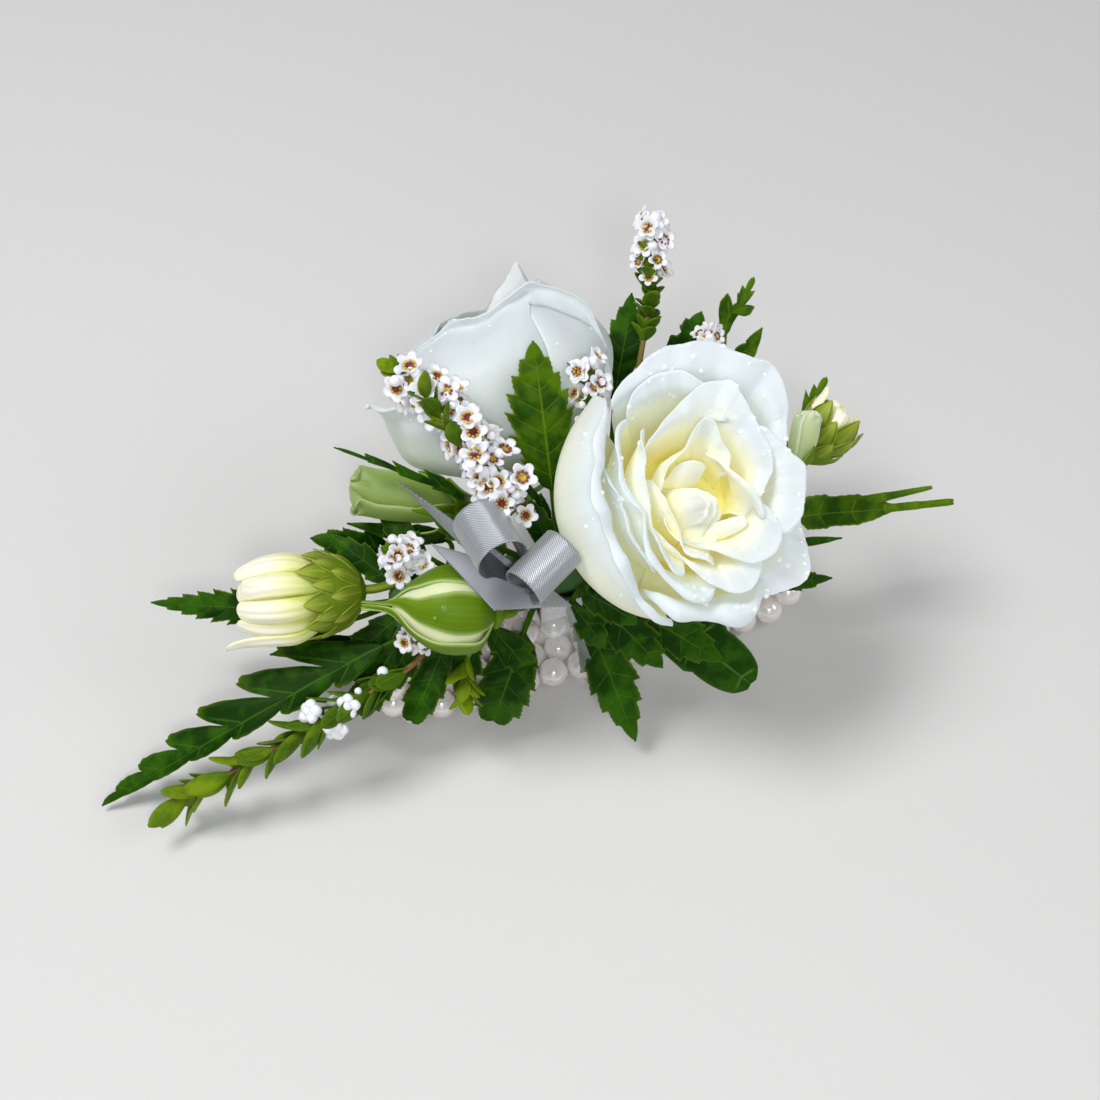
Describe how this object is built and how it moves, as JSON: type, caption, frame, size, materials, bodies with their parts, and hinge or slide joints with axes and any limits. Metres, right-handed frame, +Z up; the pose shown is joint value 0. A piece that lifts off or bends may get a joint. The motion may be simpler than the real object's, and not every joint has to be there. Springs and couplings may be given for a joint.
{
  "type": "wrist corsage",
  "caption": "Wrist corsage: white roses, buds, small-flowered sprays and cut leaves with a grey satin bow, on a stretch bracelet of pearls.",
  "frame": {"origin": "on the flat underside of the pearl at the middle of the bracelet's lower run, where the corsage rests", "axes": "+X along the flattened bracelet and the bundle of stems, towards the front rose's side; +Z up; -Y towards the front of the arrangement"},
  "size_m": [0.1747, 0.084, 0.0804],
  "materials": {
    "pearl": "warm white nacre, glossy",
    "steel": "brushed",
    "floral_tape": "matt, waxed crepe",
    "rose_petal": "soft satin, cool white to pale yellow",
    "leaf": "waxy dark green",
    "fresh_leaf": "waxy yellow-green",
    "calyx": "smooth bright green",
    "bud_petal": "soft cream",
    "pale_bud": "soft pale green",
    "white_spray": "soft white flowers with green stems",
    "ribbon": "silver-grey satin"
  },
  "bodies": {
    "root": {"clip": "steel", "daisy_bud_bracts": "calyx", "daisy_bud_petals": "bud_petal", "daisy_bud_right_bracts": "calyx", "daisy_bud_right_petals": "bud_petal", "frond_left": "leaf", "frond_spiky": "leaf", "frond_tip_right": "fresh_leaf", "leaf_back": "leaf", "leaf_back_left": "leaf", "leaf_below_left": "leaf", "leaf_blade_left": "leaf", "leaf_far_left": "leaf", "leaf_forked": "leaf", "leaf_front_left": "leaf", "leaf_front_middle": "leaf", "leaf_front_outer": "leaf", "leaf_front_right": "leaf", "leaf_lobed_right": "fresh_leaf", "leaf_right": "leaf", "leaf_small_right": "fresh_leaf", "leaf_tiny_right": "leaf", "leaf_upper_right": "leaf", "leaf_upright": "fresh_leaf", "leaf_veined": "leaf", "pale_bud_petals": "pale_bud", "pale_bud_right_petals": "pale_bud", "pale_bud_right_sepals": "calyx", "pale_bud_sepals": "calyx", "pearl_strand_1": "pearl", "pearl_strand_2": "pearl", "pearl_strand_3": "pearl", "ribbon_bow": "ribbon", "rose_back_bloom": "rose_petal", "rose_back_calyx": "calyx", "rose_bud_petals": "bud_petal", "rose_bud_sepals": "calyx", "rose_front_bloom": "rose_petal", "rose_front_calyx": "calyx", "shoot_front": "fresh_leaf", "spray_back_right": "white_spray", "spray_centre": "white_spray", "spray_left": "white_spray", "spray_low": "fresh_leaf", "spray_main": "white_spray", "spray_top": "white_spray", "spray_under_bud": "white_spray", "taped_bundle": "floral_tape"}
  },
  "joints": []
}
